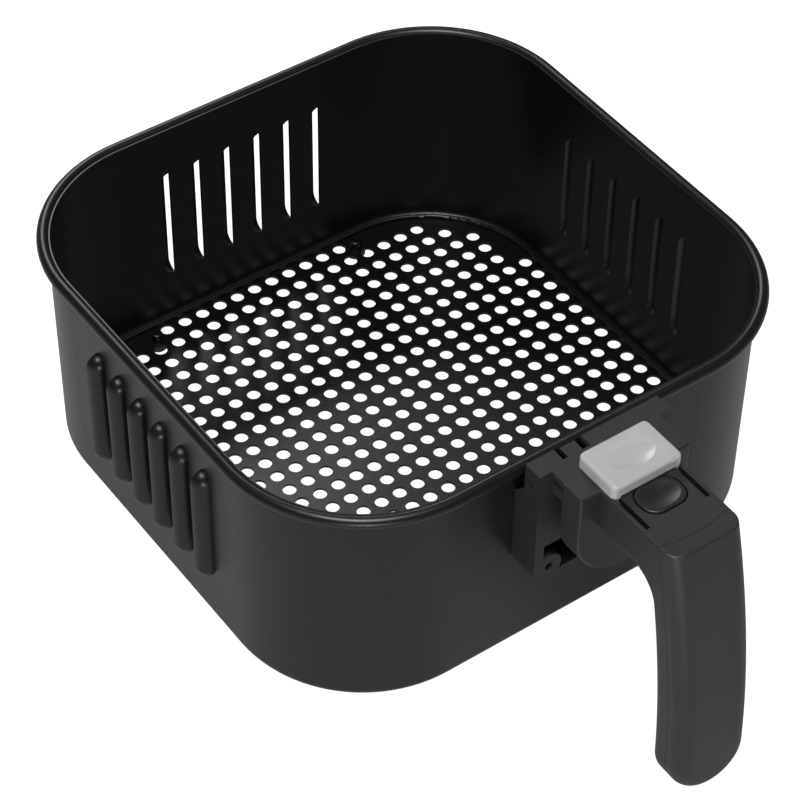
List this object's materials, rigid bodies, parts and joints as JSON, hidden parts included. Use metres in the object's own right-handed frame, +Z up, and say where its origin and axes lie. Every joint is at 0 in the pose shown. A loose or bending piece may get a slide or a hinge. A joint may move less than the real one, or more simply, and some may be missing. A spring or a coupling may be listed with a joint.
{
  "type": "air fryer basket",
  "caption": "Removable square air-fryer basket: perforated floor, louvred walls, rolled rim, drop handle with release button and sliding button guard.",
  "frame": {"origin": "middle of the basket, on the plane its four feet stand on", "axes": "+Z up out of the basket; the handle points along -Y; +X is to the right as seen from the handle's side"},
  "size_m": [0.2146, 0.29, 0.1143],
  "materials": {
    "coated_steel": "black non-stick coating, semi-gloss",
    "plastic": "dark grey moulded plastic with a fine grain",
    "button_plastic": "dark grey plastic, satin",
    "guard_plastic": "milky clear plastic",
    "bare_steel": "stainless steel",
    "brass": "plain brass",
    "silicone": "black silicone"
  },
  "bodies": {
    "basket": {"basket_shell": "coated_steel", "rim_wire": "bare_steel", "floor_plate": "coated_steel", "floor_feet": "silicone", "foot_rivets": "bare_steel", "handle_bracket": "plastic", "bracket_inserts": "brass", "bracket_washers": "bare_steel", "bracket_screws": "bare_steel", "handle_body": "plastic", "collar_screws": "bare_steel", "grip_cover": "plastic", "grip_screws": "bare_steel", "latch_pin": "bare_steel", "latch_spring": "bare_steel"},
    "button": {"release_button": "button_plastic"},
    "latch": {"latch_lever": "bare_steel"},
    "guard": {"button_guard": "guard_plastic"}
  },
  "joints": [
    {"name": "button_press", "type": "slide", "parent": "basket", "child": "button", "axis": [0, 0, -1], "range_m": [0, 0.0035], "stiffness_N_per_m": 400, "springref_m": -0.005, "deforming": ["latch_spring"]},
    {"name": "latch_turn", "type": "hinge", "parent": "basket", "child": "latch", "pos_m": [0, -0.126, 0.09], "axis": [1, 0, 0], "range_deg": [0, 13.9]},
    {"name": "guard_slide", "type": "slide", "parent": "basket", "child": "guard", "axis": [0, -1, 0], "range_m": [0, 0.015]}
  ],
  "couplings": [
    {"joint": "latch_turn", "follows": "button_press", "rad_per_m": 68.97}
  ]
}
